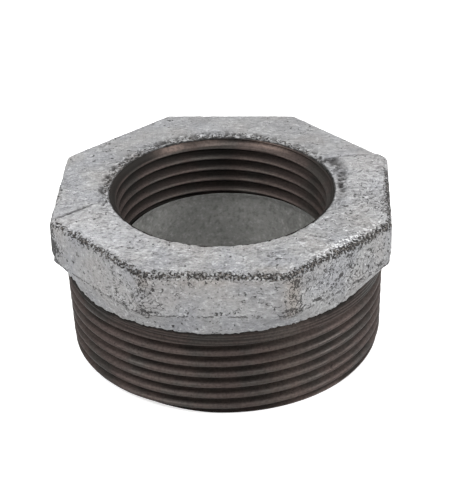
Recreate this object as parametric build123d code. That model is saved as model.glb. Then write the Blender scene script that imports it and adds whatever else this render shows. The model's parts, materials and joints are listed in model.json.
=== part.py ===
from build123d import *
import os
from math import atan2, cos, degrees, radians, sin, tan

# Octagon-head reducing bushing: a concentric reducer from a 2 inch male to a 1-1/4 inch female
# tapered pipe thread. It is cast in a two-part mould, dipped in zinc, then turned and tapped.
# Millimetres, +Z up, origin at the centre of the end face of the male shank.
# Threaded stretches are left as plain cones: the crests outside, the tapping bore inside.

# Casting
total_height = 30.8         # end face to the ridge of the top face
head_sides = 8
across_flats = 61.9
head_height = 8.8           # the flats, from the ridge down
corner_radius = 2.0         # upright corners of the head
top_edge_radius = 1.3       # rounding from the flats to the top face
top_draft = 0.4             # degrees, the fall of the top face to each side of the parting plane
neck_height = 2.6           # from the foot of the flats to the round collar
collar_radius = 30.5
passage_radius = 20.0       # cored passage under the tapped length
passage_cone = 45           # degrees from the axis, the cone between the passage and the tapped length
coat_thickness = 0.09       # hot-dip zinc

# Male thread
thread_taper = 1 / 32       # growth of radius along the axis
male_end_radius = 29.31     # crests at the end face, before the lead
lead_height = 1.2
lead_depth = 0.8            # how far the lead chamfer takes the end face in
male_length = 18.4          # turned length, up to the coated collar

# Female thread
mouth_radius = 20.95
countersink_depth = 2.2
female_mouth_radius = 19.48  # tapping bore, measured at the top face
tapped_depth = 12.2
tapping_allowance = 1.0      # how much smaller than the tapping bore the pilot hole is cast
passage_edge_break = 0.6    # chamfer where the passage meets the end face

# Directions
overrun = 5.0               # how far a cutting form runs past what it cuts
parting_angle = 180 / head_sides    # the mould parts through two opposite corners
parting_line = Vector(cos(radians(parting_angle)), sin(radians(parting_angle)), 0)
pull = Vector(-sin(radians(parting_angle)), cos(radians(parting_angle)), 0)

corner_distance = (across_flats / 2 - corner_radius) / cos(radians(parting_angle))
head_foot = total_height - head_height
neck_foot = head_foot - neck_height
reach = across_flats        # wider than any part of the head


def turned(*points):
    """A solid of revolution about Z from (radius, height) points."""
    return revolve(make_face(Plane.XZ * Polyline(*points, close=True)), Axis.Z)


def head_outline(skin, z):
    """The head's outline with rounded corners, set in by skin: edges and their end points in order."""
    arcs = []
    for side in range(head_sides):
        angle = radians(parting_angle * (2 * side + 1))
        centre = (corner_distance * cos(angle), corner_distance * sin(angle))
        arc = CenterArc(centre, corner_radius - skin, 2 * side * parting_angle, 2 * parting_angle)
        arcs.append(Pos(0, 0, z) * arc)
    edges = []
    for arc, following in zip(arcs, arcs[1:] + arcs[:1]):
        edges.append(arc)
        edges.append(Line(arc @ 1, following @ 0))
    return edges


def neck(skin):
    """The neck under the head, set in by skin: its flats lean in to the collar, a cone cuts its corners."""
    lean = degrees(atan2(across_flats / 2 - collar_radius, neck_height))
    flats = extrude(make_face(head_outline(skin, head_foot)), neck_height, dir=(0, 0, -1), taper=lean)
    cone = turned(
        (0, neck_foot),
        (collar_radius - skin, neck_foot),
        (corner_distance + corner_radius - skin, head_foot),
        (0, head_foot),
    )
    return flats & cone


def mould_half(skin):
    """One half of the head, up to the parting plane, with its top face falling away from the plane."""
    top = total_height - skin
    across = Plane(origin=(0, 0, 0), x_dir=pull, z_dir=parting_line)
    fall = reach * tan(radians(top_draft))
    side = Polyline((0, head_foot), (reach, head_foot), (reach, top - fall), (0, top), close=True)
    cavity = extrude(make_face(across * side), reach, both=True)
    block = extrude(make_face(head_outline(skin, head_foot)), head_height + overrun, dir=(0, 0, 1))
    half = block & cavity
    top_face = half.faces().sort_by(Axis.Z)[-1]
    rim = [edge for edge in top_face.edges() if abs((edge @ 0.5).dot(pull)) > coat_thickness]
    return fillet(rim, top_edge_radius - skin)


def cast_outside(skin):
    """The cast outside, set in by skin: head, neck that runs from the octagon to the round, and shank."""
    half = mould_half(skin)
    other_half = mirror(half, about=Plane(origin=(0, 0, 0), z_dir=pull))
    shank = Cylinder(collar_radius - skin, neck_foot, align=(Align.CENTER, Align.CENTER, Align.MIN))
    return half + other_half + neck(skin) + shank


def cast_passage(skin):
    """The hole that the core leaves, widened by skin: the passage, a cone and a pilot hole."""
    radius = passage_radius + skin
    pilot_radius = bore_radius(total_height - tapped_depth) - tapping_allowance + skin
    cone_tip = total_height - tapped_depth + tapping_allowance + skin * tan(radians(passage_cone / 2))
    top = total_height + overrun
    return turned(
        (0, -overrun),
        (radius, -overrun),
        (radius, cone_tip - (radius - pilot_radius) / tan(radians(passage_cone))),
        (pilot_radius, cone_tip),
        (pilot_radius, top),
        (0, top),
    )


def bore_radius(z):
    """Radius of the tapping bore at height z."""
    return female_mouth_radius - (total_height - z) * thread_taper


def male_radius(z):
    """Radius of the male thread's crests at height z."""
    return male_end_radius + z * thread_taper


def turning_waste():
    """What the lathe takes off the shank: the lead, the tapered length and the shoulder to the collar."""
    shoulder_top = male_length + reach - male_radius(male_length)
    return turned(
        (reach, -overrun),
        (male_radius(0) - lead_depth, -overrun),
        (male_radius(0) - lead_depth, 0),
        (male_radius(lead_height), lead_height),
        (male_radius(male_length), male_length),
        (reach, shoulder_top),
    ) & Cylinder(reach, 2 * neck_foot)


def tapping_waste():
    """What the drill and countersink take out: the tapered tapping bore and the mouth."""
    bore_foot = total_height - tapped_depth - passage_radius
    mouth_foot = total_height - countersink_depth
    mouth_slope = (mouth_radius - bore_radius(mouth_foot)) / countersink_depth
    return turned(
        (0, bore_foot),
        (bore_radius(bore_foot), bore_foot),
        (bore_radius(mouth_foot), mouth_foot),
        (mouth_radius + overrun * mouth_slope, total_height + overrun),
        (0, total_height + overrun),
    )


def edge_break():
    """The chamfer where the passage opens on the end face."""
    widest = passage_radius + passage_edge_break + overrun
    return turned((0, -overrun), (widest, -overrun), (0, widest - overrun))


def iron_casting():
    """The iron: the casting under its zinc, turned outside and tapped inside."""
    return cast_outside(coat_thickness) - cast_passage(coat_thickness) - tapping_waste() \
        - turning_waste() - edge_break()


def outer_zinc_coating():
    """The zinc outside, which ends at the turned shoulder and at the countersunk mouth."""
    return cast_outside(0) - cast_outside(coat_thickness) - tapping_waste() - turning_waste()


def bore_zinc_coating():
    """The zinc in the cored passage, which ends at the tapping bore and at the end face's chamfer."""
    return cast_passage(coat_thickness) - cast_passage(0) - tapping_waste() - edge_break()


nodes = {
    "iron_casting": iron_casting(),
    "outer_zinc_coating": outer_zinc_coating(),
    "bore_zinc_coating": bore_zinc_coating(),
}

os.makedirs("parts", exist_ok=True)
for name, shape in nodes.items():
    export_step(shape, f"parts/{name}.step")
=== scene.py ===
import json
from math import ceil, cos, pi, radians, sin, tan
from types import SimpleNamespace

import bmesh
import bpy
import numpy as np
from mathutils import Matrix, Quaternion, Vector, noise


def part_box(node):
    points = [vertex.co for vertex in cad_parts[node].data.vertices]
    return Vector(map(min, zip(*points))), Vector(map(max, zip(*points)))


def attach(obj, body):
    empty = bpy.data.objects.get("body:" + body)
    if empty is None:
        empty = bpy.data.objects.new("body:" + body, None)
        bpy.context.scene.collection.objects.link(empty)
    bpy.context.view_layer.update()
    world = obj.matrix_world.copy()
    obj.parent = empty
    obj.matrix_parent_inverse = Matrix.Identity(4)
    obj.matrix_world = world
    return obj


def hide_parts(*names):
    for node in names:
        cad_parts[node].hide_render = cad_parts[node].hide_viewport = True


# An octagon-head reducing bushing: a casting dipped in zinc, then turned and tapped.
# Metres, +Z up, the end of the male shank on the floor at the origin. The front is -Y.

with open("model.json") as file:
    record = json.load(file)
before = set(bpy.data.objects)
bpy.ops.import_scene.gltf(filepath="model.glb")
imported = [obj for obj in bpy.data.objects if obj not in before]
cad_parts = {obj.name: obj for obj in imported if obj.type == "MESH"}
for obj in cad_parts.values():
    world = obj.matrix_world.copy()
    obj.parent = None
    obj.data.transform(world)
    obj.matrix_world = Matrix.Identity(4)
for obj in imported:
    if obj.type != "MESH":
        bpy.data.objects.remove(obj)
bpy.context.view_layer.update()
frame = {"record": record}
dims = {mount["name"]: mount["dims"] for mount in frame["record"]["mounts"]}
mm = 0.001

# -------- sizes

sides = 8
side_angle = 2 * pi / sides
parting_angle = side_angle / 2  # the mould parts through two opposite corners
coat_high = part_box("outer_zinc_coating")[1]
lining_low, lining_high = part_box("bore_zinc_coating")
top = coat_high.z
apothem = coat_high.x  # half the width across the flats
collar_radius = 30.5 * mm
head_foot = top - 8.8 * mm  # where the flats end
neck_foot = head_foot - 2.6 * mm  # where the neck has become round
corner_radius = 2.0 * mm
edge_radius = 1.3 * mm  # rounding from the top face to the flats
edge_middle = apothem - edge_radius * (1 - cos(pi / 4))  # of that rounding, from the axis
top_draft = tan(radians(0.4))

pitch = 25.4 * mm / 11
thread_depth = 0.64 * pitch
taper = 1 / 32  # growth of radius along the axis
lean = 0.013  # of the turned and tapped faces, out of line with the casting
lean_pivot = 11 * mm  # where the two axes cross

male_end_radius = dims["male_thread"]["r_mm"] * mm
male_start = 0.476  # in turns, where the groove starts at the end face
male_narrowness = 1.35  # of the groove: above 1, crests are wider than roots
lead_height = 1.2 * mm
lead_depth = 0.8 * mm
runout_low = 13.9 * mm  # the male groove starts to grow shallow here
runout_high = 17.2 * mm  # and has gone here

female_radius = dims["female_thread"]["r_mm"] * mm
tapped_foot = top - dims["female_thread"]["length_mm"] * mm
female_start = 0.678
female_narrowness = 0.9
mouth_radius = 20.95 * mm
countersink_depth = 2.2 * mm
passage_radius = dims["cored_bore"]["r_mm"] * mm
passage_chamfer = 0.6 * mm

same_place = 0.001 * mm  # points closer than this are one

# -------- small helpers


def ramp(low, high, value):
    """0 at low, 1 at high, and a smooth change between them, for arrays."""
    t = np.clip((value - low) / (high - low), 0, 1)
    return t * t * (3 - 2 * t)


def hump(value, centre, width):
    """1 at the centre, falling to nothing about two widths away."""
    return np.exp(-((value - centre) / width) ** 2)


def spot(angle, degrees, width):
    """A hump round the axis, with its centre and width in degrees."""
    away = (angle - radians(degrees) + pi) % (2 * pi) - pi
    return hump(away, 0, radians(width))


def spots(angle, places):
    """Spots added up, each given by its centre, width and strength."""
    return sum(strength * spot(angle, degrees, width) for degrees, width, strength in places)


def lumps(points, size, seed):
    """Smooth noise from about -1 to 1 at each point, in bumps of that size."""
    shift = Vector((seed * 7.1, seed * 3.7, seed * 5.3))
    return np.array([noise.noise(Vector(p) / size + shift) for p in points.tolist()])


def layered_lumps(points, layers):
    """Smooth noise of several sizes added up: height, size and seed of each."""
    return sum(height * lumps(points, size, seed) for height, size, seed in layers)


def read_points(piece):
    """The piece's vertices as an array of x, y, z."""
    points = np.empty(len(piece.data.vertices) * 3)
    piece.data.vertices.foreach_get("co", points)
    return points.reshape(-1, 3)


def write_points(piece, points):
    """Moves the piece's vertices to the given places."""
    piece.data.vertices.foreach_set("co", points.ravel())
    piece.data.update()


def paint(piece, name, values):
    """Stores one number per vertex under a name that materials can read."""
    layer = piece.data.attributes.new(name, "FLOAT", "POINT")
    layer.data.foreach_set("value", np.asarray(values, dtype=np.float32))


def polar(points):
    """Angle, from 0 to a full turn, and distance from the axis of each point."""
    angle = np.arctan2(points[:, 1], points[:, 0]) % (2 * pi)
    return angle, np.hypot(points[:, 0], points[:, 1])


def round_points(angle, radius, height):
    """Points from their angle, distance from the axis and height."""
    return np.column_stack((radius * np.cos(angle), radius * np.sin(angle), height + 0 * angle))


def octagon(angle, flat, corner):
    """Distance from the axis to an octagon: flat is half its width, corner its corners' radius."""
    from_flat = (angle + side_angle / 2) % side_angle - side_angle / 2
    from_corner = side_angle / 2 - np.abs(from_flat)
    corner_centre = (flat - corner) / cos(side_angle / 2)
    on_flat = flat / np.cos(from_flat)
    aside = np.minimum((corner_centre * np.sin(from_corner)) ** 2, corner ** 2)
    on_corner = corner_centre * np.cos(from_corner) + np.sqrt(corner ** 2 - aside)
    flat_ends = (flat - corner) * tan(side_angle / 2)
    return np.where(flat * np.tan(np.abs(from_flat)) < flat_ends, on_flat, on_corner)


def octagon_distance(angle, radius):
    """Distance of each point from the axis, square to its nearest flat."""
    from_flat = (angle + side_angle / 2) % side_angle - side_angle / 2
    return radius * np.cos(from_flat)


def start_circle(name, columns):
    """A new piece that is one ring of vertices, left in edit mode."""
    bpy.ops.mesh.primitive_circle_add(vertices=columns, radius=passage_radius)
    piece = bpy.context.object
    piece.name = piece.data.name = name
    bpy.ops.object.mode_set(mode="EDIT")
    bpy.ops.mesh.select_all(action="SELECT")
    return piece


def place_ring(piece, shape):
    """Moves the selected ring to shape(angle): its distance from the axis, and its height."""
    mesh = bmesh.from_edit_mesh(piece.data)
    ring = [vertex for vertex in mesh.verts if vertex.select]
    angle = np.array([np.arctan2(vertex.co.y, vertex.co.x) for vertex in ring])
    radius, height = shape(angle)
    for vertex, place in zip(ring, round_points(angle, radius, height)):
        vertex.co = place
    bmesh.update_edit_mesh(piece.data)


def extrude_rings(piece, *shapes):
    """Extrudes the selected ring to each shape in turn."""
    for shape in shapes:
        bpy.ops.mesh.extrude_region_move()
        place_ring(piece, shape)


def extrude_rows(piece, rows, shape_at):
    """Extrudes rings one after another, the last of them to shape_at(1)."""
    extrude_rings(piece, *(shape_at(row / rows) for row in range(1, rows + 1)))


def round_ring(radius, height):
    """The shape of a plain circle."""
    return lambda angle: (radius, height)


def select_ring(piece, height):
    """Selects the open edge loop at the given height."""
    bpy.ops.mesh.select_all(action="DESELECT")
    mesh = bmesh.from_edit_mesh(piece.data)
    for edge in mesh.edges:
        if edge.is_boundary and all(abs(vertex.co.z - height) < same_place for vertex in edge.verts):
            edge.select_set(True)
    bmesh.update_edit_mesh(piece.data)


def finish_mesh():
    """Leaves edit mode with doubles merged and all faces outwards."""
    bpy.ops.mesh.select_all(action="SELECT")
    bpy.ops.mesh.remove_doubles(threshold=same_place)
    bpy.ops.mesh.normals_make_consistent(inside=False)
    bpy.ops.object.mode_set(mode="OBJECT")


def lathe_shift(height):
    """How far the lathe's axis, not quite parallel to the casting's, lies to its right."""
    return -lean * (height - lean_pivot)


# -------- where the zinc ends on the collar

edge_height = 18.95 * mm
edge_tilt = 0.85 * mm  # the collar was cast a little out of line with the lathe
edge_lowest = radians(238)  # the side to which it tilts down
edge_chips = ((330, 9, 0.7 * mm), (208, 3.5, 0.95 * mm))
edge_ragged = ((0.3 * mm, 0.9 * mm, 11), (0.14 * mm, 3.5 * mm, 12), (0.22 * mm, 0.45 * mm, 17))


def zinc_edge(angle):
    """Height of the zinc's lower edge: tilted, with two chips, and ragged."""
    tilt = -edge_tilt * np.cos(angle - edge_lowest)
    ragged = layered_lumps(round_points(angle, collar_radius, 0), edge_ragged)
    return edge_height + tilt + spots(angle, edge_chips) + ragged


# -------- outlines of the head and of the skirt under it

least_corner = 0.3 * mm  # radius of the corners of the innermost outlines
foot_round_depth = 0.65 * mm  # of the corners' rounding at the foot of the flats
foot_round_height = 1.2 * mm
foot_round_width = radians(4)
hidden_rows = 8  # where zinc and iron meet inside, under the flats
hidden_foot = head_foot + 0.3 * mm  # and where both turn up to their hidden sides


def head_shape(flat, height, roundness=0):
    """A ring of the head with that half width: an octagon at roundness 0, a circle at 1."""
    def shape(angle):
        corner = max(corner_radius - (apothem - flat), least_corner)
        return octagon(angle, flat, corner) * (1 - roundness) + flat * roundness, height
    return shape


def foot_rounding(angle, height):
    """How far the corners are rounded in at the foot of the flats."""
    from_corner = (angle + side_angle) % side_angle - side_angle / 2
    at_corner = hump(from_corner, 0, foot_round_width)
    return foot_round_depth * at_corner * hump(height, head_foot, foot_round_height)


def skirt_ring(share, inset=0, lift=0):
    """A ring under the flats, from their foot at share 0 to the zinc's edge at share 1."""
    def shape(angle):
        height = head_foot + (zinc_edge(angle) + lift - head_foot) * share
        roundness = np.clip((head_foot - height) / (head_foot - neck_foot), 0, 1)
        outline = octagon(angle, apothem, corner_radius) - foot_rounding(angle, height)
        return outline * (1 - roundness) + collar_radius * roundness - inset, height
    return shape


# -------- iron: both threads and the turned faces

thread_columns = 288
tooth_rows = 14
thread_same_place = 0.0001 * mm  # the band's rows lie closer
land_rows = 12
face_rows = 8
shoulder = 0.12 * mm  # height of the turned step from the thread to the collar
score_spacing = 0.66 * mm  # of the tool's lines on the land above the thread
score_depth = 0.07 * mm
score_low = runout_low + 0.6 * mm  # the lines begin here
score_high = runout_low + 1.6 * mm  # and are whole here
face_inside = passage_radius + passage_chamfer
face_outside = male_end_radius - thread_depth
rim = top - 0.75 * mm  # the iron's upper end in the mouth, under the zinc's lip
wall_middle = mouth_radius + 2 * mm  # between the hole's surface and the shank's
under_coat = 0.22 * mm  # how far the hidden iron lies inside the zinc's surface
under_lining = passage_radius + 0.12 * mm
inner_iron = apothem - 1.1 * mm  # half width of the iron's hidden sides

# Marks round the axis: centre and width in degrees, and strength.
soot_and_shade_deeper = ((212, 22, 1.4 * mm), (315, 24, 0.7 * mm))
tarnished = ((121, 9, 1.1), (100, 8, 0.5), (65, 11, 1.3))


def groove(angle, height, start, narrowness):
    """How deep a right-hand thread is cut: 0 on the crest and 1 at the root, both rounded."""
    turn = height / pitch - angle / (2 * pi) - start
    return (0.5 + 0.5 * np.cos(2 * pi * turn)) ** narrowness


def thread_band(name, low, high):
    """A ribbon wound up the axis from low to high, with rows that follow the thread."""
    turns = ceil((high - low) / pitch) + 1
    piece = start_circle(name, 4)
    bpy.ops.mesh.merge(type="CENTER")
    bpy.ops.transform.translate(value=(passage_radius, 0, low - pitch))
    for _ in range(tooth_rows):
        bpy.ops.mesh.extrude_region_move(TRANSFORM_OT_translate={"value": (0, 0, pitch / tooth_rows)})
    bpy.ops.object.mode_set(mode="OBJECT")
    screw = piece.modifiers.new("Wind", "SCREW")
    screw.angle = 2 * pi
    screw.screw_offset = pitch
    screw.iterations = turns
    screw.steps = screw.render_steps = thread_columns
    screw.use_merge_vertices = True
    screw.merge_threshold = thread_same_place
    bpy.ops.object.modifier_apply(modifier="Wind")
    points = read_points(piece)
    points[:, 2] = np.clip(points[:, 2], low, high)
    write_points(piece, points)
    bpy.ops.object.mode_set(mode="EDIT")
    bpy.ops.mesh.select_all(action="SELECT")
    bpy.ops.mesh.remove_doubles(threshold=thread_same_place)
    bpy.ops.object.mode_set(mode="OBJECT")
    return piece


def male_cut(angle, height):
    """How deep the male thread is cut, with its run-out below the collar."""
    left = 1 - ramp(runout_low, runout_high, height)
    upright = height - lean * male_end_radius * np.cos(angle)
    return groove(angle, upright, male_start, male_narrowness) * left


def scores(height):
    """The tool's lines below the collar, from 0 on the metal to 1 in a line."""
    turn = 2 * pi * (height - runout_high) / score_spacing
    return ramp(score_low, score_high, height) * (0.5 - 0.5 * np.cos(turn))


def male_surface(angle, height):
    """Radius of the shank: the male thread, its lead and its run-out below the collar."""
    crest = male_end_radius + height * taper - score_depth * scores(height)
    lead = male_end_radius - lead_depth + height * (lead_depth + lead_height * taper) / lead_height
    return np.minimum(crest - thread_depth * male_cut(angle, height), lead)


def female_surface(angle, height):
    """Radius of the tapped hole: the female thread and the countersink."""
    crest = female_radius - (top - height) * taper
    cut = crest + thread_depth * groove(angle, height, female_start, female_narrowness)
    mouth_slope = (mouth_radius - female_radius) / countersink_depth
    return np.maximum(cut, mouth_radius - (top - height) * mouth_slope)


def cut_thread(piece, surface):
    """Moves the band's vertices to the radius surface(angle, height)."""
    points = read_points(piece)
    angle, _ = polar(points)
    write_points(piece, round_points(angle, surface(angle, points[:, 2]), points[:, 2]))


def land_ring(share):
    """A ring of the land, from the run-out at share 0 to the shoulder at share 1."""
    def shape(angle):
        height = runout_high + (zinc_edge(angle) - shoulder - runout_high) * share
        return male_end_radius + height * taper - score_depth * scores(height), height
    return shape


def build_iron():
    """The iron of the fitting as one closed piece."""
    piece = thread_band("iron", 0, runout_high)
    cut_thread(piece, male_surface)
    female = thread_band("tapping", tapped_foot, rim)
    cut_thread(female, female_surface)
    piece.select_set(True)
    bpy.context.view_layer.objects.active = piece
    bpy.ops.object.join()
    bpy.ops.object.mode_set(mode="EDIT")
    bpy.ops.mesh.select_mode(type="EDGE")

    select_ring(piece, runout_high)
    extrude_rows(piece, land_rows, land_ring)
    extrude_rings(
        piece,
        skirt_ring(1, under_coat, -0.04 * mm),
        *(skirt_ring(row / hidden_rows, under_coat) for row in range(hidden_rows - 1, -1, -1)),
        head_shape(inner_iron, hidden_foot),
        head_shape(inner_iron, top - 1.75 * mm),
        round_ring(mouth_radius + 0.6 * mm, top - 1.05 * mm),
        round_ring(mouth_radius + 0.15 * mm, rim),
        lambda angle: (female_surface(angle, rim), rim),
    )
    select_ring(piece, tapped_foot)
    face_width = face_outside - face_inside
    extrude_rings(
        piece,
        round_ring(under_lining, tapped_foot - 0.2 * mm),
        round_ring(under_lining, passage_chamfer),
        round_ring(passage_radius, passage_chamfer),
        *(round_ring(face_inside + face_width * row / face_rows, 0) for row in range(face_rows)),
        lambda angle: (male_surface(angle, 0), 0),
    )
    finish_mesh()
    paint_iron(piece)
    lean_turned_faces(piece)
    bpy.ops.object.shade_smooth_by_angle(angle=radians(40))
    return piece


def paint_iron(piece):
    """Marks the iron's thread roots and tarnish, the dirt below the zinc's edge, and painted shade there
    and in the tapped hole.
    """
    points = read_points(piece)
    angle, radius = polar(points)
    height = points[:, 2]
    outside = radius > wall_middle
    on_left = spot(angle, 172, 50)
    countersink = ramp(top - 0.85 * countersink_depth, top - 0.7 * countersink_depth, height)
    tapped_cut = groove(angle, height, female_start, female_narrowness)
    cut = np.where(outside, male_cut(angle, height), tapped_cut) * (1 - countersink)
    land = ramp(runout_low, runout_high, height) * outside
    # Painted shade in the tapped hole: its thread takes more of the roots' darker colour, less on the left
    # wall and more on the countersink.
    inside = (0.45 - 0.4 * on_left * (1 - countersink) + 0.25 * countersink) * ~outside
    paint(piece, "groove", np.clip(cut * (1 - land) * (1 - inside) + 0.6 * land + inside, 0, 1))

    # Dark band below the zinc's edge: dirt, and the painted shadow that the collar's lip casts on the land.
    below_zinc = zinc_edge(angle) - height + 0.25 * mm * lumps(points, 1.2 * mm, 14)
    soot_and_shade_width = 0.4 * mm + spots(angle, soot_and_shade_deeper)
    soot_and_shade = ramp(soot_and_shade_width + 0.6 * mm, soot_and_shade_width, below_zinc)
    soot_and_shade = np.maximum(soot_and_shade, np.maximum(0.75 * scores(height), 0.25 * spot(angle, 273, 10)))
    # Painted shade in the tapped hole: under the zinc's lip, on the left wall, in the roots and on the
    # countersink.
    shade_foot = top - (1.2 + 0.3 * spot(angle, 142, 36)) * mm
    shade_under_lip = 0.95 * ramp(shade_foot - 0.25 * mm, shade_foot, height)
    shade_under_lip *= 1 - 0.7 * spot(angle, 42, 28)
    shaded = on_left * (0.2 + 0.8 * cut + 0.45 * countersink) + 0.2 * countersink * spot(angle, 25, 20)
    shaded += 0.25 * cut + 0.4 * spot(angle, 92, 9) * (1 - countersink)
    paint(piece, "soot_and_shade", np.where(outside, soot_and_shade, np.clip(shaded + shade_under_lip, 0, 1)))
    rust = np.where(outside, 0.3 * spot(angle, 296, 9), countersink * spots(angle, tarnished))
    paint(piece, "rust", rust)


def lean_turned_faces(piece):
    """Moves the turned and tapped faces onto the lathe's axis, and leaves the cast ones."""
    points = read_points(piece)
    angle, radius = polar(points)
    height = points[:, 2].copy()
    tapped = (height > tapped_foot - 0.01 * mm) & (radius <= wall_middle)
    turned = ramp(face_inside, face_outside, radius) * (height < zinc_edge(angle))
    points[:, 0] += lathe_shift(height) * np.where(tapped, 1, turned)
    write_points(piece, points)


# -------- zinc outside: head, neck and collar

head_columns = 720
# Dark places on the flats: angle, height, half width in degrees, half height, strength.
blotches = (
    (206, 25.4, 2.6, 1.3, 0.85), (216.3, 26.9, 0.9, 0.5, 1), (210.6, 24.3, 0.7, 0.35, 0.95),
    (213.8, 24.8, 0.7, 0.35, 0.95), (219.2, 23.7, 0.8, 0.4, 0.95), (230.3, 27.3, 0.7, 0.35, 0.85),
    (227, 21.8, 1.2, 0.3, 0.85), (231.9, 23.3, 0.8, 0.6, 0.7), (240.1, 22.3, 2, 0.3, 0.85),
    (215, 29.1, 4.5, 0.8, 0.5), (236, 24, 0.7, 0.6, 0.7),
    (247.8, 23.3, 1.6, 0.7, 0.3), (251, 22.6, 3, 0.3, 0.85), (247.7, 29.2, 1.6, 1, 0.25),
    (261.7, 28.9, 1.2, 0.5, 0.7), (267.4, 29, 1, 0.5, 0.7), (257.5, 26.6, 1.2, 0.6, 0.6),
    (265.5, 23.7, 1, 0.4, 0.7), (271, 22.6, 3, 0.5, 0.8), (276.5, 23, 2, 0.4, 0.7),
    (294.9, 28.4, 2.2, 1.2, 0.4), (291.8, 23.1, 3, 0.6, 0.6), (298, 22.9, 2, 0.5, 0.75),
    (319, 28.6, 3.2, 1, 0.85), (314.5, 25.1, 1.2, 0.6, 0.8), (303.7, 22.8, 2, 0.4, 0.75),
    (332.2, 23.2, 1.8, 0.6, 1), (323, 22.2, 2.4, 0.35, 0.9), (326, 29.4, 5, 0.5, 0.7),
    (318.7, 26.5, 1.3, 0.6, 0.85), (315, 25.4, 1.2, 0.5, 0.85), (327, 26.1, 0.8, 0.6, 0.85),
    (327.6, 24.2, 0.8, 0.5, 0.8), (327.3, 27.9, 1, 0.4, 0.85), (310.5, 24.1, 1.6, 0.5, 0.75),
    (306.3, 25.6, 1, 0.6, 0.75), (299.8, 27.4, 1, 0.8, 0.75), (304, 22.8, 3.5, 0.35, 0.8),
    (310.4, 22.4, 1.6, 0.3, 0.85), (322, 24.2, 1, 0.6, 0.7), (307.5, 28, 1.2, 0.7, 0.65),
    (11, 27.5, 2, 0.8, 0.75), (21, 23.2, 2.5, 0.8, 0.8), (52, 23.6, 2, 0.6, 0.75),
    (69, 28.2, 1.6, 1, 0.5), (84, 26.4, 1.5, 0.6, 0.7), (103, 23, 3, 0.5, 0.8),
    (112, 27.6, 1.6, 1.2, 0.45), (138, 25.2, 1.6, 0.8, 0.75), (157, 23.4, 2.2, 0.9, 0.85),
    (176, 27, 1.8, 0.7, 0.75), (186, 22.8, 2.5, 0.4, 0.8),
)
# Marks round the axis, as above.
worn_corners = (
    (203.2, 2.0, 1.1), (247.5, 1.3, 0.7), (294.7, 2.4, 0.65), (337.5, 1.5, 0.45),
    (67.5, 1.6, 0.5), (112.5, 1.6, 0.6), (157.5, 1.6, 0.5),
)
worn_behind = ((2, 17, 0.75), (183, 15, 0.5))
glinting = ((321, 17, 1.4), (222, 16, 0.4), (270, 14, 0.3))
dented_sides = ((0, 16, 0.5), (190, 12, 0.5))
wrinkled_sides = (
    (316, 20, 0.45), (238, 8, 0.35), (213, 12, -0.2), (62, 16, 0.4), (146, 14, 0.45),
    (249, 3, 0.5), (294, 4, 0.5),
)
painted_light_sides = ((218, 26, 1.0), (8, 22, 0.7))
flash_sides = ((201.8, 0.5, 0.9), (23, 0.5, 0.9))
along = Vector((cos(parting_angle), sin(parting_angle), 0))  # in the parting plane
across = Vector((-sin(parting_angle), cos(parting_angle), 0))  # square to it, towards the back

lip_inside = mouth_radius - 0.05 * mm
lip = mouth_radius + 0.25 * mm  # where the top face begins
inner_flat = apothem - edge_radius  # half width where it ends
flat_top = top - edge_radius
top_rows, rounding_rows, flats_rows, skirt_rows = 32, 7, 22, 16
zinc_wall = 0.25 * mm  # the shell's thickness where iron hides its inner side
inner_zinc = apothem - 1.2 * mm
least_relief = 0.005 * mm  # the lumpy surface stays this far inside the plain one
wear_depth, dent_depth, hollow_depth, seam_depth = 0.36 * mm, 0.4 * mm, 0.6 * mm, 0.32 * mm
bead_height, step_height, lip_fall = 0.26 * mm, 0.24 * mm, 0.12 * mm


def top_ring(share):
    """A ring of the top face, from the mouth at share 0 to the rounding at share 1."""
    out = share ** 1.15  # closer together at the mouth
    return head_shape(lip + (inner_flat - lip) * out, top, (1 - out) ** 1.5)


def rounding_ring(share):
    """A ring of the rounding from the top face to the flats."""
    turn = pi / 2 * share
    return head_shape(inner_flat + edge_radius * sin(turn), top - edge_radius * (1 - cos(turn)))


def flats_ring(share):
    """A ring of the flats, from their rounding to their foot."""
    return head_shape(apothem, flat_top + (head_foot - flat_top) * share)


def build_head():
    """The zinc skin of the head, neck and collar, as a closed shell."""
    piece = start_circle("head_zinc", head_columns)
    place_ring(piece, round_ring(mouth_radius + 0.1 * mm, top - 0.8 * mm))
    extrude_rings(
        piece,
        round_ring(lip_inside, top - 0.5 * mm),
        round_ring(lip_inside, top - 0.28 * mm),
        round_ring(mouth_radius + 0.05 * mm, top - 0.1 * mm),
        round_ring(lip, top),
    )
    extrude_rows(piece, top_rows, top_ring)
    extrude_rows(piece, rounding_rows, rounding_ring)
    extrude_rows(piece, flats_rows, flats_ring)
    extrude_rings(
        piece,
        *(skirt_ring(row / skirt_rows) for row in range(1, skirt_rows)),
        skirt_ring(1, 0.08 * mm),
        *(skirt_ring(row / hidden_rows, zinc_wall, 0.02 * mm) for row in range(hidden_rows, -1, -1)),
        head_shape(inner_zinc, hidden_foot),
        head_shape(inner_zinc, top - 1.8 * mm),
        round_ring(mouth_radius + 0.6 * mm, top - 1.1 * mm),
        round_ring(mouth_radius + 0.1 * mm, top - 0.8 * mm),
    )
    finish_mesh()
    cast_head(piece)
    bpy.ops.object.shade_smooth()
    return piece


def locate(points):
    """Where the head's points lie, in all the measures that its marks need."""
    at = SimpleNamespace(points=points, height=points[:, 2].copy())
    at.angle, at.radius = polar(points)
    at.from_axis = octagon_distance(at.angle, at.radius)
    at.from_mouth = at.radius - mouth_radius
    at.from_parting = points @ np.array(across)
    at.on_parting = points @ np.array(along)
    at.on_top = ramp(flat_top, top - 0.1 * mm, at.height)
    at.front = ramp(-0.5 * mm, -7 * mm, at.from_parting)
    at.behind = ramp(-2 * mm, 6 * mm, at.from_parting) * (1 - 0.8 * spot(at.angle, 182, 22))
    return at


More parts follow.
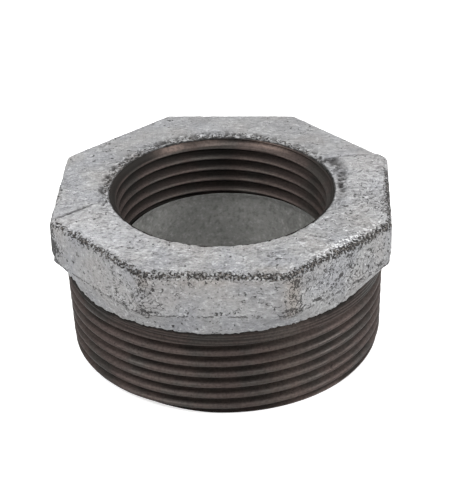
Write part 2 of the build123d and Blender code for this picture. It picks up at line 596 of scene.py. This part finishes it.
def skin_roughness(at):
    """How rough the zinc is: most on the front of the top face and in a ring behind the mouth."""
    rough = 0.5 + 0.5 * at.on_top * (1 - at.behind) - 0.15 * at.on_top * at.behind
    return np.maximum(rough, hump(at.from_mouth, 1.0 * mm, 1.3 * mm) * at.behind * at.on_top)


def skin_relief(at, rough):
    """The zinc's waves and, where it is rough, its lumps and creases."""
    relief = layered_lumps(at.points, ((0.04 * mm, 6 * mm, 1), (0.04 * mm, 2 * mm, 2))) - 0.028 * mm
    relief += 0.1 * mm * (lumps(at.points, 0.75 * mm, 3) - 0.4) * rough
    creases = np.abs(lumps(at.points * np.array((0.55, 1, 1)), 0.95 * mm, 15))
    return relief - 0.256 * mm * creases * np.clip(2 * rough - 1, 0, 1)


def edge_wear(at):
    """Wear of the top edge, strongest in front, and of the mouth's lip, where behind the mouth it is also
    painted shade among the beads.
    """
    lowered = at.height + 0.3 * mm * spot(at.angle, 322, 15)
    from_edge = np.hypot(at.from_axis - edge_middle, lowered - top + apothem - edge_middle)
    worn_sides = np.maximum(at.front, spots(at.angle, worn_behind))
    worn_sides = np.maximum(worn_sides, 0.7 * ramp(top - 0.3 * mm, top - 0.8 * mm, at.height))
    worn_sides = np.maximum(worn_sides, 0.9 * spot(at.angle, 207, 5))
    worn_sides += 0.12 * spot(at.angle, 322, 22)
    uneven = 1 + 0.3 * lumps(at.points, 2.5 * mm, 18)
    wear_and_shade = hump(from_edge, 0, 1.1 * mm) * (0.1 + 0.98 * worn_sides) * uneven
    wear_and_shade += 0.5 * at.front * at.on_top * hump(at.from_mouth, 0.1 * mm, 0.3 * mm)
    # Behind the mouth this dark ring is partly worn zinc and partly painted shade among the beads.
    lip_wear_and_shade = np.maximum(at.behind, 1.3 * spot(at.angle, 168, 30))
    return wear_and_shade + 0.75 * lip_wear_and_shade * at.on_top * hump(at.from_mouth, 0.6 * mm, 0.9 * mm)


def marks_on_flats(at):
    """Wear of the upright corners, and the dark places on the flats."""
    wandering = at.angle + radians(1.1) * lumps(at.points, 2.2 * mm, 19)
    marks = spots(wandering, worn_corners)
    for degrees, middle, width, half_height, strength in blotches:
        upright = hump(at.height, middle * mm, half_height * mm)
        marks += 1.2 * strength * spot(at.angle, degrees, width) * upright
    return marks * ramp(neck_foot, neck_foot + 1.5 * mm, at.height) * (1 - at.on_top)


def dents_at_mouth(at):
    """Dents in a ring round the mouth, nearly all of them behind it."""
    ring = hump(at.from_mouth, 1.3 * mm, 1.0 * mm) * at.on_top
    around = ramp(-1.5 * mm, 3 * mm, at.from_parting) + spots(at.angle, dented_sides)
    fewer = 1 - 0.45 * spot(at.angle, 55, 14)
    return ring * np.clip(around, 0, 1) * fewer * np.clip(3.4 * lumps(at.points, 0.85 * mm, 7) + 0.2, 0, 1)


def beads_at_mouth(at):
    """Beads of zinc close behind the mouth."""
    beads = np.clip(2.6 * lumps(at.points, 0.7 * mm, 10), 0, 1)
    return hump(at.from_mouth, 1.0 * mm, 1.1 * mm) * at.behind * beads


def hollow_at_mouth(at):
    """The curved hollow beside the mouth on the right, wider towards the back."""
    from_right = (at.angle + pi) % (2 * pi) - pi
    widening = ramp(radians(0), radians(25), from_right)
    hollow = hump(at.radius, (22.3 + 1.0 * widening) * mm, (0.5 + 0.55 * widening) * mm) * at.on_top
    hollow *= 1 + 1.5 * lumps(at.points, 0.9 * mm, 13)
    hollow *= ramp(radians(-15), radians(5), from_right) * ramp(radians(33), radians(29), from_right)
    return np.clip(hollow, 0, 1)


def parting_seam(at, points):
    """The parting line: each point's distance behind it, and how deep and how dark it is there; the dark is
    partly a painted shadow of the step.
    """
    bend = 0.6 + 2.2 * ramp(-31.8 * mm, -23.5 * mm, at.on_parting)
    bend += 0.3 * ramp(-10 * mm, 10 * mm, at.on_parting)
    bend -= 1.3 * ramp(24.5 * mm, 32 * mm, at.on_parting)
    from_seam = at.from_parting - mm * bend - 0.25 * mm * lumps(points, 2.2 * mm, 9)
    fainter = 0.5 * ramp(26 * mm, 31 * mm, at.on_parting)
    stronger = 0.9 * ramp(-25 * mm, -28 * mm, at.on_parting)
    seam_and_shade = hump(from_seam, 0.15 * mm, 0.3 * mm) * (1.4 + 0.8 * lumps(points, 2.5 * mm, 8)) * at.on_top
    seam_and_shade *= 1 - fainter + stronger
    flash = spots(at.angle, flash_sides) * ramp(head_foot, head_foot + 1.5 * mm, at.height)
    seam_and_shade += flash * (1 - at.on_top) * (1 + lumps(points, 1.5 * mm, 16))
    return from_seam, np.clip(seam_and_shade, 0, 1)


def cast_head(piece):
    """Gives the head its cast form: draft, parting step, worn edges and lumpy zinc."""
    at = locate(read_points(piece))
    rough = skin_roughness(at)
    wear_and_shade = edge_wear(at)
    dents = dents_at_mouth(at)
    hollow = hollow_at_mouth(at)

    relief = skin_relief(at, rough)
    above_foot = ramp(head_foot - 0.01 * mm, head_foot + 0.01 * mm, at.height)
    relief -= foot_rounding(at.angle, at.height) * above_foot
    relief -= wear_depth * wear_and_shade * np.clip(1.3 * lumps(at.points, 0.8 * mm, 4) + 0.25, 0, 1)
    outward = round_points(at.angle, 1, 0)
    normal = outward * (1 - at.on_top)[:, None] + np.array((0, 0, 1)) * at.on_top[:, None]
    points = at.points + normal * np.minimum(relief, -least_relief)[:, None]

    fall = np.abs(at.from_parting) * top_draft * ramp(head_foot, flat_top, at.height)
    fall += lip_fall * ramp(1.5 * mm, 0, at.from_mouth) * at.on_top
    points[:, 2] -= fall + dent_depth * dents + hollow_depth * hollow - bead_height * beads_at_mouth(at)
    points[:, 2] = np.minimum(points[:, 2], top)
    near_mouth = ramp(6 * mm, 0.7 * mm, at.from_mouth) * (at.height > head_foot)
    points[:, 0] += lathe_shift(at.height) * near_mouth

    from_seam, seam_and_shade = parting_seam(at, points)
    step = step_height * ramp(-0.15 * mm, 0.25 * mm, from_seam) * at.on_top
    step *= 1 - 0.6 * ramp(4 * mm, 20 * mm, from_seam)
    points[:, 2] -= step + seam_depth * seam_and_shade * at.on_top
    write_points(piece, points)

    # Painted shade on the mouth's inner wall, in the dents and in the hollow, laid in with the parting
    # line, whose dark line is partly a painted shadow of its step.
    mouth_wall_shade = 1.5 * hump(at.from_mouth, 0, 0.3 * mm) * ramp(top - 0.02 * mm, top - 0.12 * mm, at.height)
    paint(piece, "wear_and_shade", wear_and_shade)
    paint(piece, "upright_wear", marks_on_flats(at))
    paint(piece, "seam_and_shade", np.clip(seam_and_shade + dents + 0.9 * hollow + mouth_wall_shade, 0, 1))
    paint(piece, "rough", rough)
    paint_skin(piece, at)


def paint_skin(piece, at):
    """Marks the zinc's wrinkled and stained places, its painted glints and painted light on the top, and
    the collar's painted shade.
    """
    on_flats = ramp(top - 0.6 * mm, top - 1.6 * mm, at.height) * ramp(neck_foot, head_foot, at.height)
    wrinkled = on_flats * (0.3 + spots(at.angle, wrinkled_sides))
    on_right = spot(at.angle, -8, 26) * ramp(22 * mm, 26 * mm, at.radius)
    paint(piece, "wrinkled", np.clip(wrinkled + 0.55 * at.on_top * on_right, 0, 1))
    # Painted highlight: glints just inside the top edge, strongest at the right front.
    inset = (1.9 - 0.35 * spot(at.angle, 322, 15)) * mm
    glints = hump(at.from_axis, apothem - inset, 0.75 * mm) * at.on_top * spots(at.angle, glinting)
    paint(piece, "glints", np.clip(glints, 0, 1))
    # Painted light: the top is lighter on its left front and its right, where the side lights fall.
    paint(piece, "painted_light", at.on_top * spots(at.angle, painted_light_sides))
    paint(piece, "collar", ramp(head_foot, head_foot - 1.5 * mm, at.height))
    stain = 0.6 * spot(at.angle, 248, 2.5) * hump(at.height, top - 1.5 * edge_radius, 1.5 * mm)
    stain += 0.8 * spot(at.angle, 294, 2.8) * on_flats
    near_edge = hump(at.from_axis, apothem - 3 * mm, 2.5 * mm)
    stain += 0.45 * spot(at.angle, 288, 7) * at.on_top * near_edge
    stain += 0.5 * spot(at.angle, 272, 18) * hump(at.height, top - 1.3 * edge_radius, 0.8 * mm)
    paint(piece, "stain", np.clip(stain * ramp(28.5 * mm, 30.5 * mm, at.radius), 0, 1))


# -------- zinc in the cored passage

lining_columns = 360
lining_lumps = ((0.06 * mm, 3 * mm, 5), (0.04 * mm, 1 * mm, 6))
lining_depth = 0.05 * mm  # how far the lumps lie inside the CAD's surface on average
cone_height = 1.4 * mm  # of the short cone at the lining's upper end
cone_slope = 0.5
tube_rows, cone_rows = 44, 5


def build_lining():
    """The zinc on the cored passage, rough as the sand core left it."""
    foot = lining_low.z
    tube_top = lining_high.z - cone_height

    def tube_ring(share):
        return round_ring(passage_radius, foot + (tube_top - foot) * share)

    def cone_ring(share):
        return round_ring(passage_radius - cone_slope * cone_height * share, tube_top + cone_height * share)

    piece = start_circle("passage_zinc", lining_columns)
    place_ring(piece, round_ring(passage_radius + 0.08 * mm, foot))
    extrude_rings(piece, round_ring(passage_radius, foot + 0.1 * mm))
    extrude_rows(piece, tube_rows, tube_ring)
    extrude_rows(piece, cone_rows, cone_ring)
    back = round_ring(passage_radius + 0.09 * mm, tube_top + 0.2 * mm)
    extrude_rings(piece, back, round_ring(passage_radius + 0.08 * mm, foot))
    finish_mesh()
    points = read_points(piece)
    angle, radius = polar(points)
    height = points[:, 2]
    bare = (height > foot + 0.2 * mm) & (radius < passage_radius + 0.02 * mm)
    relief = layered_lumps(points, lining_lumps) - lining_depth
    write_points(piece, round_points(angle, radius + np.where(bare, relief, 0), height))
    bpy.ops.object.shade_smooth()
    return piece


# -------- materials: placing nodes

def feed(tree, node, inputs):
    """Gives each input of a node its number, its colour or its link."""
    for name, value in inputs.items():
        if isinstance(value, bpy.types.NodeSocket):
            tree.links.new(value, node.inputs[name])
        else:
            node.inputs[name].default_value = value


def put(tree, kind, inputs, **settings):
    """Places a shader node: its settings first, then its inputs."""
    node = tree.nodes.new("ShaderNode" + kind)
    for name, value in settings.items():
        setattr(node, name, value)
    feed(tree, node, inputs)
    return node


def calculate(tree, operation, *values, clamp=True):
    """A Math node's result, kept between 0 and 1 unless clamp is off."""
    inputs = dict(enumerate(values))
    return put(tree, "Math", inputs, operation=operation, use_clamp=clamp).outputs[0]


def scaled(tree, value, factor, offset=0.0):
    """value times factor plus offset, not clamped."""
    return calculate(tree, "MULTIPLY_ADD", value, factor, offset, clamp=False)


def blend(tree, share, first, second):
    """A colour between first, at share 0, and second, at share 1."""
    inputs = {"Factor": share, 6: first, 7: second}
    return put(tree, "Mix", inputs, data_type="RGBA").outputs[2]


def tint(tree, colour, mask, amount, over):
    """Lays another colour over one, as far as the mask times the amount says."""
    return blend(tree, calculate(tree, "MULTIPLY", mask, amount), colour, over)


def spread(tree, value, low, high, start=0.0, end=1.0):
    """Carries low to high over to start to end, smoothly."""
    inputs = {"Value": value, "From Min": low, "From Max": high, "To Min": start, "To Max": end}
    return put(tree, "MapRange", inputs, interpolation_type="SMOOTHSTEP").outputs["Result"]


def grain(tree, position, per_metre, detail=2.0):
    """Noise around 0.5, with that many lumps per metre."""
    inputs = {"Vector": position, "Scale": per_metre, "Detail": detail}
    return put(tree, "TexNoise", inputs).outputs["Fac"]


def painted(tree, name):
    """The number that paint() stored under a name."""
    return put(tree, "Attribute", {}, attribute_name=name).outputs["Fac"]


def object_position(tree):
    """Metres in the object's own frame."""
    return put(tree, "TexCoord", {}).outputs["Object"]


def make_group(name, inputs, outputs):
    """An empty node group: its tree, its inputs with a position first, and its output node."""
    group = bpy.data.node_groups.new(name, "ShaderNodeTree")
    group.interface.new_socket("Position", in_out="INPUT", socket_type="NodeSocketVector")
    for label in inputs:
        group.interface.new_socket(label, in_out="INPUT", socket_type="NodeSocketFloat")
    for label in outputs:
        group.interface.new_socket(label, in_out="OUTPUT", socket_type="NodeSocketFloat")
    *given, _ = group.nodes.new("NodeGroupInput").outputs
    return group, given, group.nodes.new("NodeGroupOutput")


def use_group(tree, group, position, **inputs):
    """Places a node group in a material and gives back its outputs."""
    inputs["Position"] = position
    return put(tree, "Group", inputs, node_tree=group).outputs


# -------- materials: effects used more than once

def make_dipped_skin():
    """Dipped zinc: its uneven height, its patchy tone, and its fine specks, lighter on its bumps and darker
    in its hollows as painted highlight and shade.
    """
    inputs, outputs = ("Lumps", "Roughness"), ("Height", "Tone", "Speckle_and_shading")
    group, (position, size, roughness), result = make_group("dipped_skin", inputs, outputs)
    broad = grain(group, position, size)
    middle = grain(group, position, scaled(group, size, 2.7))
    close = grain(group, position, scaled(group, size, 6.5))
    fine = calculate(group, "MULTIPLY", close, roughness, clamp=False)
    relief = scaled(group, middle, roughness, scaled(group, broad, 0.8, fine))
    tone = grain(group, position, scaled(group, size, 0.4), 4.0)
    # Specks made from the same noise as the relief, so they are painted highlight on the bumps and painted
    # shade in the hollows.
    speckle_and_shading = scaled(group, close, 0.45, scaled(group, middle, 0.55))
    feed(group, result, {"Height": relief, "Tone": tone, "Speckle_and_shading": speckle_and_shading})
    return group


def make_pits():
    """Irregular pits in loose clusters: Density per metre, Cover from 0, none, to 1, many."""
    group, (position, density, cover), result = make_group("pits", ("Density", "Cover"), ("Mask",))
    holes = grain(group, position, density, 2.5)
    clusters = grain(group, position, scaled(group, density, 0.16))
    sunk = scaled(group, clusters, 0.3, holes)
    level = scaled(group, cover, -0.2, 0.92)
    deep = calculate(group, "SUBTRACT", sunk, level, clamp=False)
    feed(group, result, {"Mask": spread(group, deep, -0.02, 0.035)})
    return group


def make_wrinkles():
    """Short dark wrinkles here and there: lines where a noise crosses its middle."""
    group, (position, density, cover), result = make_group("wrinkles", ("Density", "Cover"), ("Mask",))
    folds = scaled(group, grain(group, position, density, 1.5), 1.0, -0.5)
    away = calculate(group, "ABSOLUTE", folds, clamp=False)
    lines = spread(group, away, 0.028, 0.008)
    places = grain(group, position, scaled(group, density, 0.7), 3.0)
    kept = scaled(group, cover, 0.5, places)
    feed(group, result, {"Mask": calculate(group, "MULTIPLY", lines, spread(group, kept, 0.72, 0.8))})
    return group


def make_wear():
    """Turns a painted Amount into broken-up patches, Grain per metre."""
    group, (position, amount, size), result = make_group("broken_wear", ("Amount", "Grain"), ("Mask",))
    rough = grain(group, position, size, 3.0)
    feed(group, result, {"Mask": spread(group, scaled(group, amount, 0.27, rough), 0.69, 0.76)})
    return group


def make_turned_lines():
    """Fine broken lines round the axis, as a lathe leaves them."""
    group, (position, lines), result = make_group("turned_lines", ("Lines",), ("Height",))
    flat = {0: position, 1: (1, 1, 0)}
    across_axis = put(group, "VectorMath", flat, operation="MULTIPLY").outputs["Vector"]
    from_axis = put(group, "VectorMath", {0: across_axis}, operation="LENGTH").outputs["Value"]
    along_axis = put(group, "CombineXYZ", {"Z": from_axis}).outputs[0]
    stretch = put(group, "Mapping", {"Vector": position, "Scale": (0.02, 0.02, 1)}).outputs[0]
    both = put(group, "VectorMath", {0: stretch, 1: along_axis}, operation="ADD").outputs["Vector"]
    feed(group, result, {"Height": grain(group, both, lines)})
    return group


# -------- materials

def make_material(name):
    """A new node material, its tree and its Principled BSDF."""
    material = bpy.data.materials.new(name)
    material.use_nodes = True
    return material, material.node_tree, material.node_tree.nodes["Principled BSDF"]


def bump(tree, height, distance, strength=1.0):
    """The normal that a height gives; distance is its full depth in metres."""
    inputs = {"Strength": strength, "Distance": distance, "Height": height}
    return put(tree, "Bump", inputs).outputs[0]


# Colours: red, green and blue, linear, and alpha.
zinc_dim, zinc_pale = (0.335, 0.335, 0.34, 1), (0.39, 0.39, 0.39, 1)
zinc_warm, zinc_cool = (0.39, 0.37, 0.355, 1), (0.345, 0.355, 0.385, 1)
zinc_smooth_and_shade, zinc_painted_light = (0.12, 0.12, 0.125, 1), (0.58, 0.58, 0.605, 1)
zinc_speck_and_shade, zinc_spark_and_highlight = (0.12, 0.118, 0.12, 1), (0.62, 0.62, 0.635, 1)
zinc_painted_glint = (0.85, 0.85, 0.86, 1)
collar_shade = (0.10, 0.105, 0.11, 1)
brown_stain = (0.33, 0.27, 0.21, 1)
soil_and_shade, crumb = (0.02, 0.018, 0.017, 1), (0.17, 0.155, 0.14, 1)
passage_shaded_dim, passage_shaded_pale = (0.185, 0.185, 0.176, 1), (0.25, 0.25, 0.238, 1)
passage_speck_and_shade, passage_spark_and_highlight = (0.08, 0.08, 0.075, 1), (0.33, 0.33, 0.315, 1)
passage_hole = (0.05, 0.05, 0.045, 1)
crest_grey, crest_brown = (0.068, 0.061, 0.056, 1), (0.092, 0.071, 0.065, 1)
root_grey, root_brown = (0.046, 0.041, 0.037, 1), (0.063, 0.048, 0.043, 1)
iron_dirt, iron_hole = (0.02, 0.016, 0.014, 1), (0.01, 0.008, 0.007, 1)
iron_soot_and_shade, iron_rust = (0.012, 0.011, 0.01, 1), (0.16, 0.12, 0.105, 1)
floor_dim, floor_pale = (0.74, 0.74, 0.74, 1), (0.76, 0.76, 0.76, 1)
dark_reflection = 0.15  # Specular IOR Level where a surface is not metallic


def colour_zinc(tree, position, cast, rough):
    """The outer zinc without its marks: patches, dark and bright specks that follow the lumps as painted
    shade and highlight, painted shade on the flats and the rear of the top, painted light on the top's
    sides, and painted glints.
    """
    colour = blend(tree, spread(tree, cast["Tone"], 0.36, 0.64), zinc_dim, zinc_pale)
    patches = grain(tree, position, 130.0, 1.0)
    colour = blend(tree, spread(tree, patches, 0.5, 0.68, 0.0, 0.4), colour, zinc_warm)
    colour = blend(tree, spread(tree, patches, 0.5, 0.32, 0.0, 0.4), colour, zinc_cool)
    # Painted shade: darker where the zinc is less rough, on the flats and the rear of the top.
    colour = blend(tree, spread(tree, rough, 0.6, 0.35, 0.0, 0.2), colour, zinc_smooth_and_shade)
    # Painted light on the top's lighter sides.
    colour = tint(tree, colour, painted(tree, "painted_light"), 0.35, zinc_painted_light)
    colour = tint(tree, colour, painted(tree, "collar"), 0.14, collar_shade)
    # Dark and bright specks that follow the lumps: partly painted shade in the hollows and painted
    # highlight on the bumps.
    low, high = spread(tree, cast["Speckle_and_shading"], 0.5, 0.36), spread(tree, cast["Speckle_and_shading"], 0.54, 0.64)
    colour = tint(tree, colour, low, scaled(tree, rough, 0.4, 0.15), zinc_speck_and_shade)
    colour = tint(tree, colour, high, scaled(tree, rough, 0.75, 0.05), zinc_spark_and_highlight)
    # Painted glints, broken into sparkles.
    sparkle = spread(tree, grain(tree, position, 1900.0), 0.5, 0.6)
    return tint(tree, colour, painted(tree, "glints"), sparkle, zinc_painted_glint)


def mark_zinc(tree, position, pits, wrinkles, broken_wear):
    """Masks of all dark marks on the outer zinc, painted shade at the mouth and the parting step among
    them, and of its broken edge alone.
    """
    wrinkled = painted(tree, "wrinkled")
    small = use_group(tree, pits, position, Density=2300.0, Cover=scaled(tree, wrinkled, 0.35, 0.3))["Mask"]
    wide = use_group(tree, pits, position, Density=1100.0, Cover=0.35)["Mask"]
    lines = use_group(tree, wrinkles, position, Density=900.0, Cover=wrinkled)["Mask"]
    edges = use_group(tree, broken_wear, position, Amount=painted(tree, "wear_and_shade"), Grain=2300.0)["Mask"]
    upright = painted(tree, "upright_wear")
    corners = use_group(tree, broken_wear, position, Amount=upright, Grain=2200.0)["Mask"]
    height = put(tree, "SeparateXYZ", {"Vector": position}).outputs["Z"]
    away = calculate(tree, "ABSOLUTE", scaled(tree, height, 1.0, -head_foot), clamp=False)
    at_foot = spread(tree, away, 0.5 * mm, 0.0, 0.0, 0.9)
    crease = use_group(tree, broken_wear, position, Amount=at_foot, Grain=1700.0)["Mask"]
    dark, seam_and_shade = edges, painted(tree, "seam_and_shade")
    marks = (small, 0.9), (wide, 0.9), (lines, 0.9), (corners, 0.9), (crease, 0.7), (seam_and_shade, 0.95)
    for mask, amount in marks:
        dark = calculate(tree, "MAXIMUM", dark, calculate(tree, "MULTIPLY", mask, amount))
    return dark, edges


def make_outer_zinc(skin, pits, wrinkles, broken_wear):
    """Dull zinc, pitted and wrinkled, with dark broken edges and faint brown stains."""
    material, tree, shader = make_material("dull_zinc")
    position = object_position(tree)
    rough = painted(tree, "rough")
    drawn_out = put(tree, "Mapping", {"Vector": position, "Scale": (0.75, 1, 1)}).outputs[0]
    cast = use_group(tree, skin, drawn_out, Lumps=420.0, Roughness=scaled(tree, rough, 1.7, 0.4))
    dark, edges = mark_zinc(tree, position, pits, wrinkles, broken_wear)
    colour = colour_zinc(tree, position, cast, rough)
    colour = tint(tree, colour, painted(tree, "stain"), 0.45, brown_stain)
    crumbs = calculate(tree, "MULTIPLY", spread(tree, grain(tree, position, 2800.0), 0.54, 0.6), edges)
    # Dark marks, painted shade among them, with lighter crumbs in the broken edge.
    colour = tint(tree, colour, dark, 0.95, blend(tree, crumbs, soil_and_shade, crumb))
    feed(tree, shader, {
        "Base Color": colour,
        "Roughness": spread(tree, cast["Tone"], 0.3, 0.7, 0.42, 0.6),
        "Metallic": spread(tree, dark, 0.1, 0.7, 0.5, 0.0),
        "Specular IOR Level": dark_reflection,
        "Normal": bump(tree, scaled(tree, dark, -0.8, cast["Height"]), 0.42 * mm),
    })
    return material


def make_passage_zinc(skin, pits):
    """Zinc over a sand-cored wall: greener and finer in grain than outside, and darker, partly as painted
    shade deep in the bore.
    """
    material, tree, shader = make_material("passage_zinc")
    position = object_position(tree)
    cast = use_group(tree, skin, position, Lumps=300.0, Roughness=1.0)
    tone, speckle_and_shading = cast["Tone"], cast["Speckle_and_shading"]
    # Darker than the outer zinc, partly as painted shade in the bore.
    colour = blend(tree, spread(tree, tone, 0.3, 0.7), passage_shaded_dim, passage_shaded_pale)
    # Dark and bright specks that follow the lumps: partly painted shade and highlight.
    colour = blend(tree, spread(tree, speckle_and_shading, 0.5, 0.36, 0.0, 0.45), colour, passage_speck_and_shade)
    colour = blend(tree, spread(tree, speckle_and_shading, 0.52, 0.66, 0.0, 0.7), colour, passage_spark_and_highlight)
    holes = use_group(tree, pits, position, Density=1500.0, Cover=0.3)["Mask"]
    feed(tree, shader, {
        "Base Color": tint(tree, colour, holes, 0.3, passage_hole),
        "Roughness": spread(tree, tone, 0.3, 0.7, 0.6, 0.75),
        "Metallic": 0.1,
        "Normal": bump(tree, cast["Height"], 0.12 * mm),
    })
    return material


def make_bare_iron(lines, pits):
    """Turned iron under thin brown oxide, lighter on the crests than in the roots, with painted shade under
    the zinc and in the tapped hole.
    """
    material, tree, shader = make_material("turned_iron")
    position = object_position(tree)
    depth, soot_and_shade = painted(tree, "groove"), painted(tree, "soot_and_shade")
    turned = use_group(tree, lines, position, Lines=4200.0)["Height"]
    patches = spread(tree, grain(tree, position, 160.0, 3.0), 0.36, 0.58)
    crest = blend(tree, patches, crest_grey, crest_brown)
    root = blend(tree, patches, root_grey, root_brown)
    # The roots' darker colour, which in the tapped hole is also painted shade.
    colour = blend(tree, spread(tree, depth, 0.1, 0.85), crest, root)
    dirt = spread(tree, grain(tree, position, 2200.0), 0.42, 0.62)
    colour = tint(tree, colour, dirt, 0.35, iron_dirt)
    colour = tint(tree, colour, spread(tree, turned, 0.5, 0.7), 0.4, iron_dirt)
    holes = use_group(tree, pits, position, Density=1300.0, Cover=0.3)["Mask"]
    colour = tint(tree, colour, holes, 0.6, iron_hole)
    # Dirt below the zinc, and painted shade there and in the tapped hole.
    colour = tint(tree, colour, soot_and_shade, 0.9, iron_soot_and_shade)
    colour = tint(tree, colour, painted(tree, "rust"), spread(tree, dirt, 1.0, 0.0, 0.5, 0.8), iron_rust)
    matt = spread(tree, soot_and_shade, 0, 1, 0.0, 0.45)
    dull = calculate(tree, "MAXIMUM", soot_and_shade, calculate(tree, "MULTIPLY", depth, 0.4))
    feed(tree, shader, {
        "Base Color": colour,
        "Roughness": calculate(tree, "ADD", spread(tree, patches, 0, 1, 0.44, 0.56), matt),
        "Metallic": spread(tree, dull, 0, 1, 0.6, 0.0),
        "Specular IOR Level": dark_reflection,
        "Normal": bump(tree, turned, 0.05 * mm, 0.6),
    })
    return material


def make_floor_paint():
    """Matt white, with a glow for the camera alone that lifts it to the sky's white."""
    material, tree, shader = make_material("pale_floor")
    cloud = grain(tree, object_position(tree), 6.0)
    seen = put(tree, "LightPath", {}).outputs["Is Camera Ray"]
    feed(tree, shader, {
        "Base Color": blend(tree, cloud, floor_dim, floor_pale),
        "Roughness": 0.9,
        "Emission Color": (1, 1, 1, 1),
        "Emission Strength": calculate(tree, "MULTIPLY", seen, 0.6),
    })
    return material


def dress(piece, material, node):
    """Gives a piece its material, ties it to its body and hides the CAD node that it stands for."""
    piece.data.materials.append(material)
    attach(piece, "root")
    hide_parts(node)


# -------- floor, light and camera

def build_floor():
    """A wide pale floor, a hair under the end face."""
    bpy.ops.mesh.primitive_plane_add(size=6, location=(0, 0, -0.01 * mm))
    floor = bpy.context.object
    floor.name = "floor"
    floor.data.materials.append(make_floor_paint())


# Softboxes: azimuth from the front and elevation, in degrees, then size and power.
softboxes = {
    "overhead": (0, 86, 0.9, 12),
    "left": (-70, 45, 0.4, 6.2),
    "right": (84, 32, 0.55, 9),
    "front": (-9, 36, 0.2, 1.6),
}
softbox_distance = 1.2
sky_strength = 0.45


def face_axis(name, data, height, azimuth, elevation, distance, roll=0.0):
    """Places a light or camera facing the axis at that height; azimuth 0 is the front."""
    turned, raised = radians(azimuth), radians(elevation)
    back = Vector((sin(turned) * cos(raised), -cos(turned) * cos(raised), sin(raised)))
    eye = bpy.data.objects.new(name, data)
    eye.location = Vector((0, 0, height)) + back * distance
    eye.rotation_mode = "QUATERNION"
    eye.rotation_quaternion = (-back).to_track_quat("-Z", "Y") @ Quaternion((0, 0, 1), radians(roll))
    bpy.context.collection.objects.link(eye)
    return eye


def add_softbox(name, azimuth, elevation, size, power):
    """A square light that faces the object from the given direction."""
    light = bpy.data.lights.new(name, "AREA")
    light.shape, light.size, light.energy = "SQUARE", size, power
    face_axis(name, light, top / 2, azimuth, elevation, softbox_distance)


def build_light():
    """A dim even sky, and softboxes overhead, at the left, the right and the front."""
    world = bpy.data.worlds.new("studio")
    world.use_nodes = True
    sky = {"Color": (1, 1, 1, 1), "Strength": sky_strength}
    feed(world.node_tree, world.node_tree.nodes["Background"], sky)
    bpy.context.scene.world = world
    bpy.context.scene.view_settings.view_transform = "Standard"
    for name, settings in softboxes.items():
        add_softbox(name, *settings)


def build_camera():
    """Looks down on the front, a little from the right."""
    camera = bpy.data.cameras.new("camera")
    camera.lens = 125.13
    camera.shift_x = 0.003684
    camera.shift_y = -0.127164
    camera.dof.use_dof = False
    eye = face_axis("camera", camera, top, azimuth=3.53, elevation=28.75, distance=0.3229, roll=-1.40)
    bpy.context.scene.camera = eye


build_camera()
build_light()
build_floor()
dipped_skin = make_dipped_skin()
pits = make_pits()
outer_finish = make_outer_zinc(dipped_skin, pits, make_wrinkles(), make_wear())
dress(build_iron(), make_bare_iron(make_turned_lines(), pits), "iron_casting")
dress(build_head(), outer_finish, "outer_zinc_coating")
dress(build_lining(), make_passage_zinc(dipped_skin, pits), "bore_zinc_coating")
